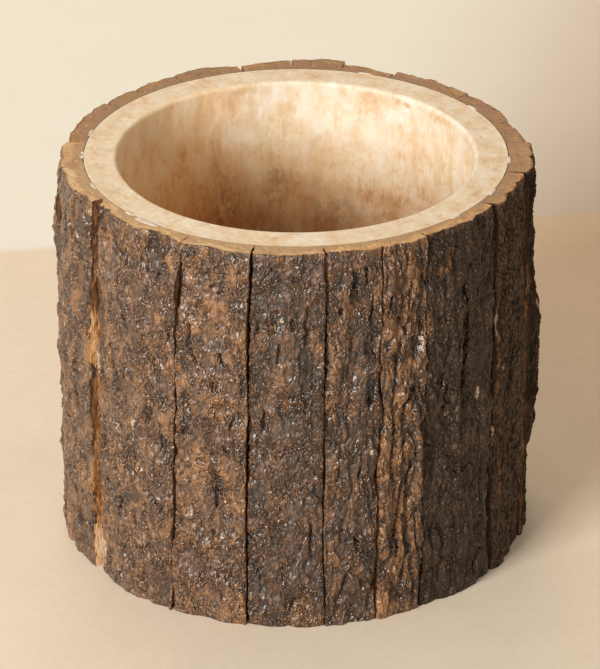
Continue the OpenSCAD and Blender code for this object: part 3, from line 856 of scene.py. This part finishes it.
# Stains on the core's bore and rim. Each one is: kind, angle in degrees, height on the wall or
# radius on the rim, half width round the core, other half size, and strength.
WALL_STAINS = [
    ("amber", 93.6, 202, 8, 6, 0.6), ("amber", 89.6, 209, 3, 6, 0.6), ("amber", 81.9, 181, 9, 10, 0.6),
    ("amber", 110, 213, 16, 3, 0.9), ("amber", 65.4, 210, 16, 7, 0.8), ("amber", 52, 213, 10, 3, 1),
    ("amber", 34, 213, 20, 4, 0.9), ("amber", 15, 213, 16, 5, 0.7), ("amber", 46.9, 185, 4, 30, 0.7),
    ("amber", 36, 180, 5, 26, 0.5), ("amber", 28, 178, 3, 30, 0.6), ("amber", 122, 200, 10, 14, 0.5),
    ("amber", 105, 192, 5, 22, 0.5), ("amber", 75, 150, 18, 12, 0.4), ("dirt_and_shade", 25.7, 189.8, 1.2, 1.2, 0.9),
    ("dirt_and_shade", 117.5, 172, 4, 14, 0.45), ("dirt_and_shade", 164.4, 214.5, 2.2, 1.2, 0.9),
    # The dirt stain at 95 degrees and the two broad stains low on the bore are partly painted shade
    ("dirt_and_shade", 95, 156, 13, 18, 0.55), ("amber", 117, 178, 5, 34, 0.75), ("amber", 128, 160, 8, 24, 0.5),
    ("dirt_and_shade", 116, 134, 84, 30, 0.8), ("amber", 112, 148, 96, 38, 0.75),
]
RIM_STAINS = [
    ("amber", 137.9, 109, 5, 2.4, 0.8), ("amber", 129.6, 111, 12, 1.4, 0.8),
    ("amber", 124.5, 105, 3, 2, 0.6), ("amber", 155.6, 106, 12, 4, 0.5), ("amber", 199.9, 108, 6, 2, 0.6),
    ("amber", 8.1, 99, 7, 2, 0.8), ("amber", 349.7, 106.6, 4, 2, 0.7), ("amber", 321.6, 108.3, 12, 4, 0.5),
    ("amber", 72, 107.5, 22, 1.6, 0.5), ("amber", 240, 110.5, 24, 1.4, 0.6),
    ("dirt_and_shade", 108.8, 99, 2.6, 1.2, 0.6), ("dirt_and_shade", 190, 103, 3, 0.8, 0.5), ("dirt_and_shade", 271, 98.6, 5, 1.6, 0.6),
    ("dirt_and_shade", 252.2, 109.5, 2.5, 1.2, 0.5), ("dirt_and_shade", 227.8, 99, 2.5, 1.2, 0.5),
    ("dirt_and_shade", 355.6, 101, 3, 2, 0.6), ("dirt_and_shade", 349, 107, 3, 1.4, 0.6), ("dirt_and_shade", 333.3, 106, 7, 1.8, 0.6),
    ("amber", 6, 104, 26, 9, 0.45), ("dirt_and_shade", 303.3, 102, 7, 1.2, 0.6), ("dirt_and_shade", 279, 108, 3, 1, 0.5),
]
# The bore's colour is darkest up to the first height and palest from the second: painted shade deep in the
# bore
BORE_DARK_MM = 90
BORE_PALE_MM = 215
# Angle at which the bore is palest near its mouth, as painted light with painted shade on the opposite
# side, and angle at which its colour is warmest, as painted warm bounce light
PAINTED_LIGHT_SIDE_DEG = 140
PAINTED_BOUNCE_SIDE_DEG = 165
# The rim's tone, and its value where the bore stores its nearness to the warm side. That value
# gets neither the warm tint of painted bounce light nor the dull tint of painted shade.
RIM_TONE = 0.65
RIM_SIDE = 0.65


def core_profile():
    """The wall's outline from its foot round to its foot again: radius, height and part, which
    is 0 for the outside and foot, 1 for the rim and 2 for the bore."""
    points = [(math.hypot(v.co.x, v.co.y) / MM, v.co.z / MM)
              for v in frame["nodes"]["core_wall"].data.vertices]
    foot_r = min(r for r, z in points if z < 0.1)
    step_z = max(z for r, z in points if abs(r - foot_r) < 0.05)
    turns = np.linspace(0, math.pi / 2, MOUTH_STEPS + 1)
    outside = [(CORE_R_MM, z, 0) for z in np.linspace(0, HEIGHT_MM, OUTSIDE_POINTS)]
    mouth_r = BORE_R_MM + MOUTH_MM
    rim = [(r, HEIGHT_MM, 1) for r in np.linspace(CORE_R_MM, mouth_r, RIM_POINTS)[1:]]
    mouth = [(BORE_R_MM + MOUTH_MM * (1 - math.sin(t)), HEIGHT_MM - MOUTH_MM * (1 - math.cos(t)), 2)
             for t in turns[1:]]
    n_wall = round((HEIGHT_MM - MOUTH_MM - FLOOR_TOP_MM) / CORE_CELL_MM)
    wall = [(BORE_R_MM, z, 2) for z in np.linspace(HEIGHT_MM - MOUTH_MM, FLOOR_TOP_MM, n_wall)[1:]]
    shoulder = [(foot_r, step_z, 0), (foot_r, 0, 0)]
    return np.array(outside + rim + mouth + wall + shoulder)


def dress_core():
    profile = core_profile()
    radius, height, part = profile.T
    n_round = round(2 * math.pi * BORE_R_MM / CORE_CELL_MM)
    turn = np.linspace(0, 2 * math.pi, n_round, endpoint=False)
    arc, r = np.meshgrid(turn * BORE_R_MM, radius, indexing="ij")
    z = np.broadcast_to(height, arc.shape)
    on_rim, on_wall = part == 1, part == 2
    across = np.where(on_rim, r, z)

    def field(cell_round, cell_other, seed, layers=3):
        return layered(arc, across, cell_round, cell_other, seed, layers, 0.6, 2 * math.pi * BORE_R_MM)

    # Painted shade, darker towards the bottom of the bore
    low = 1 - smooth((z - BORE_DARK_MM) / (BORE_PALE_MM - BORE_DARK_MM))
    # Painted light and shade: paler towards the pale side near the mouth
    away = 0.5 - 0.5 * np.cos(turn - math.radians(PAINTED_LIGHT_SIDE_DEG))[:, None]
    bore_light_and_shade = 0.80 - 0.66 * low * (1 - 0.35 * away) - 0.12 * away
    tone_light_and_shade = np.where(on_rim, RIM_TONE, bore_light_and_shade) + 0.20 * field(15, 20, 501, 4)
    amber = smooth(0.9 * field(10, 20, 511, 4) - 0.05)
    # Dirt, heavier deep in the bore, where it is partly painted shade
    dirt_and_shade = smooth(field(8, 26, 521, 4) - 0.7 + 0.6 * low) * on_wall
    fields = {"amber": 0.3 * amber, "dirt_and_shade": 0.5 * dirt_and_shade}
    stains = [(on_wall, *stain) for stain in WALL_STAINS] + [(on_rim, *stain) for stain in RIM_STAINS]
    for n, (chosen, kind, degrees, at, half_round, half_other, strength) in enumerate(stains):
        off = (turn - math.radians(degrees) + math.pi) % (2 * math.pi) - math.pi
        off = off[:, None] * BORE_R_MM / half_round
        size = math.sqrt(half_round * half_other)
        uneven = 0.6 * field(size, 1.5 * size, 600 + 7 * n)
        share = strength * chosen * smooth(1 + uneven - np.hypot(off, (across - at) / half_other))
        fields[kind] = np.maximum(fields[kind], share)
    r = r - 0.25 * field(9, 60, 531) * on_wall * smooth((HEIGHT_MM - z) / 6)
    top = z - 0.35 * smooth(field(6, 4, 541) - 0.25) * on_rim
    points = turned(turn[:, None], r, top)
    ids = np.arange(len(points)).reshape(arc.shape)
    closed = np.vstack([ids, ids[:1]])
    closed = np.column_stack([closed, closed[:, :1]])
    mesh = new_mesh("core", points, grid_faces(closed, False))
    mesh.shade_smooth()
    mesh.set_sharp_from_angle(angle=math.radians(50))
    # Nearness to the warm side, which gets painted warm bounce light; the opposite side gets painted shade
    side = 0.5 + 0.5 * np.cos(turn - math.radians(PAINTED_BOUNCE_SIDE_DEG))[:, None]
    masks = (fields["amber"], fields["dirt_and_shade"], np.clip(tone_light_and_shade, 0, 1), np.where(on_wall, side, RIM_SIDE))
    store_masks(mesh, masks, np.zeros((len(points), 4), np.float32))
    mesh.materials.append(core_material("core_wood"))
    piece = add_object("core", mesh)
    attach(piece, "root")
    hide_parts("core_wall")


# The long sliver of glue at the front left: its middle's angle in degrees, half its length,
# and half its width
GLUE_SLIVER = (227.8, 8.2, 1.9)
# Half width of the other beads, and the rings of points that make each one: share of its
# size, and height above the rim
BEAD_HALF_WIDTH_MM = 0.9
BEAD_RINGS = ((1.0, -0.05), (0.85, 0.2), (0.5, 0.3))
BEAD_STEPS = 28
# Angle that beads are further apart than
BEAD_GAP = math.radians(2)


def glue_places():
    """Angle of the middle, half length and half width of each bead on the rim."""
    glue = frame["nodes"]["glue_patches"].data
    tops = [math.atan2(v.co.y, v.co.x) for v in glue.vertices if v.co.z / MM > HEIGHT_MM - 0.1]
    groups = []
    for turn in sorted(tops):
        if not groups or turn - groups[-1][-1] > BEAD_GAP:
            groups.append([])
        groups[-1].append(turn)
    places = [((g[0] + g[-1]) / 2, (g[-1] - g[0]) / 2 * CORE_R_MM, BEAD_HALF_WIDTH_MM)
              for g in groups]
    return places + [(math.radians(GLUE_SLIVER[0]), *GLUE_SLIVER[1:])]


def add_glue_beads():
    """Flat beads of glue over the rim, where glue comes up between core and bark."""
    t = np.linspace(0, 2 * math.pi, BEAD_STEPS, endpoint=False)
    points, faces = [], []
    for n, (middle, half_length, half_width) in enumerate(glue_places()):
        uneven = 1 + 0.3 * layered(t, 0 * t, 0.8, 1, 700 + 7 * n, 2, 0.5, 2 * math.pi)
        width = half_width * uneven * (1 - 0.4 * np.cos(t))
        rings = [(share * half_length * uneven * np.cos(t), share * width * np.sin(t), lift)
                 for share, lift in BEAD_RINGS]
        rings.append((0 * t, 0 * t, BEAD_RINGS[-1][1]))
        ids = len(points) + np.arange(len(rings) * BEAD_STEPS).reshape(-1, BEAD_STEPS)
        for along, out, lift in rings:
            r = CORE_R_MM + 0.8 * half_width + out
            points.extend(turned(middle + along / CORE_R_MM, r, HEIGHT_MM + lift))
        faces.extend(grid_faces(np.column_stack([ids, ids[:, :1]]), True))
        faces.append(ids[0].tolist())
    mesh = new_mesh("glue_beads", np.array(points), faces)
    mesh.shade_smooth()
    mesh.materials.append(glue_material("glue_bead"))
    piece = add_object("glue_beads", mesh)
    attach(piece, "root")


def dress_small_parts():
    materials = {"floor_disc": floor_disc_material("floor_wood"), "glue_patches": glue_material("glue")}
    for node, material in materials.items():
        mesh = frame["nodes"][node].data
        mesh.materials.clear()
        mesh.materials.append(material)


def add_camera():
    data = bpy.data.cameras.new("camera")
    data.lens = FOCAL_PX / PHOTO_LONG_SIDE_PX * data.sensor_width
    data.shift_x, data.shift_y = (v / PHOTO_LONG_SIDE_PX for v in PHOTO_OFFSET_PX)
    data.clip_end = 20
    camera = add_object("camera", data)
    aim = HEIGHT_MM / 2 * MM
    back, up = math.cos(CAMERA_ELEVATION), math.sin(CAMERA_ELEVATION)
    camera.location = (0, -CAMERA_DISTANCE * back, aim + CAMERA_DISTANCE * up)
    camera.rotation_euler = (math.pi / 2 - CAMERA_ELEVATION, 0, 0)
    bpy.context.scene.camera = camera


# The even light from all sides
SKY_COLOR = (1, 0.89, 0.76)
SKY_STRENGTH = 0.41
# Each lamp's place, size, level and colour
LAMPS = {
    "key": ((-2.47, -3.27, 1.6), 1.7, 1.12, (1, 0.965, 0.91)),
    "fill": ((-0.6, 3.0, 2.2), 2.4, 0.30, (1, 0.84, 0.66)),
}


def add_light(name, place, size, level, color):
    """A soft square lamp aimed at the planter. At level 1 a white surface there that faces the
    lamp renders as white."""
    aim = Vector((0, 0, HEIGHT_MM / 2 * MM)) - Vector(place)
    data = bpy.data.lights.new(name, "AREA")
    data.size = size
    data.energy = level * (math.pi * aim.length) ** 2
    data.color = color
    light = add_object(name, data)
    light.location = place
    light.rotation_euler = aim.to_track_quat("-Z", "Y").to_euler()


def add_studio():
    world = bpy.data.worlds.new("studio")
    world.use_nodes = True
    background = world.node_tree.nodes["Background"]
    background.inputs["Color"].default_value = (*SKY_COLOR, 1)
    background.inputs["Strength"].default_value = SKY_STRENGTH
    bpy.context.scene.world = world
    for name, lamp in LAMPS.items():
        add_light(name, *lamp)


# Where the floor's tone changes: a direction across it, and the distances along that direction
# where the change starts and ends. The far part starts at a line at the back.
FAR_PART = ((-0.146, 1, 0), 0.351, 0.363)
# Where painted shadow darkens each part, towards the right and the back
FAR_PART_PAINTED_SHADE = ((1, -0.25, 0), -0.13, 0.13)
NEAR_PART_PAINTED_SHADE = ((1, 0.8, 0), -0.1, 0.7)
# Tones of the two parts before and after the painted shadow, each from dark to light mottling
NEAR_LIGHT = ((0.85, 0.735, 0.59), (0.95, 0.835, 0.68))
NEAR_SHADED = ((0.74, 0.525, 0.325), (0.82, 0.585, 0.37))
FAR_LIGHT = ((0.945, 0.905, 0.795), (0.980, 0.945, 0.845))
FAR_SHADED = ((0.685, 0.555, 0.440), (0.715, 0.585, 0.470))
FLOOR_HALF = 3


def add_floor():
    n = Nodes("floor")
    mottle = n.times(n.noise(1, 60, 5, 0.6), 0.5)
    mottle = n.times(n.noise(1, 5, 4, 0.7), 0.5, mottle)

    def tones(low, high):
        return n.ramp(mottle, [(0.3, low), (0.7, high)])

    def change(place, before, after):
        direction, start, end = place
        return n.mix(n.fade(n.distance(direction), start, end), before, after)

    # Painted shadow on both parts of the floor
    near = change(NEAR_PART_PAINTED_SHADE, tones(*NEAR_LIGHT), tones(*NEAR_SHADED))
    far = change(FAR_PART_PAINTED_SHADE, tones(*FAR_LIGHT), tones(*FAR_SHADED))
    corners = [(x * FLOOR_HALF, y * FLOOR_HALF, 0) for x, y in ((-1, -1), (1, -1), (1, 1), (-1, 1))]
    mesh = bpy.data.meshes.new("floor")
    mesh.from_pydata(corners, [], [(0, 1, 2, 3)])
    mesh.materials.append(n.finish(change(FAR_PART, near, far), roughness=0.8))
    add_object("floor", mesh)


add_camera()
add_studio()
add_floor()
dress_core()
dress_small_parts()
add_glue_beads()
dress_strips()
bpy.context.scene.view_settings.view_transform = "Standard"
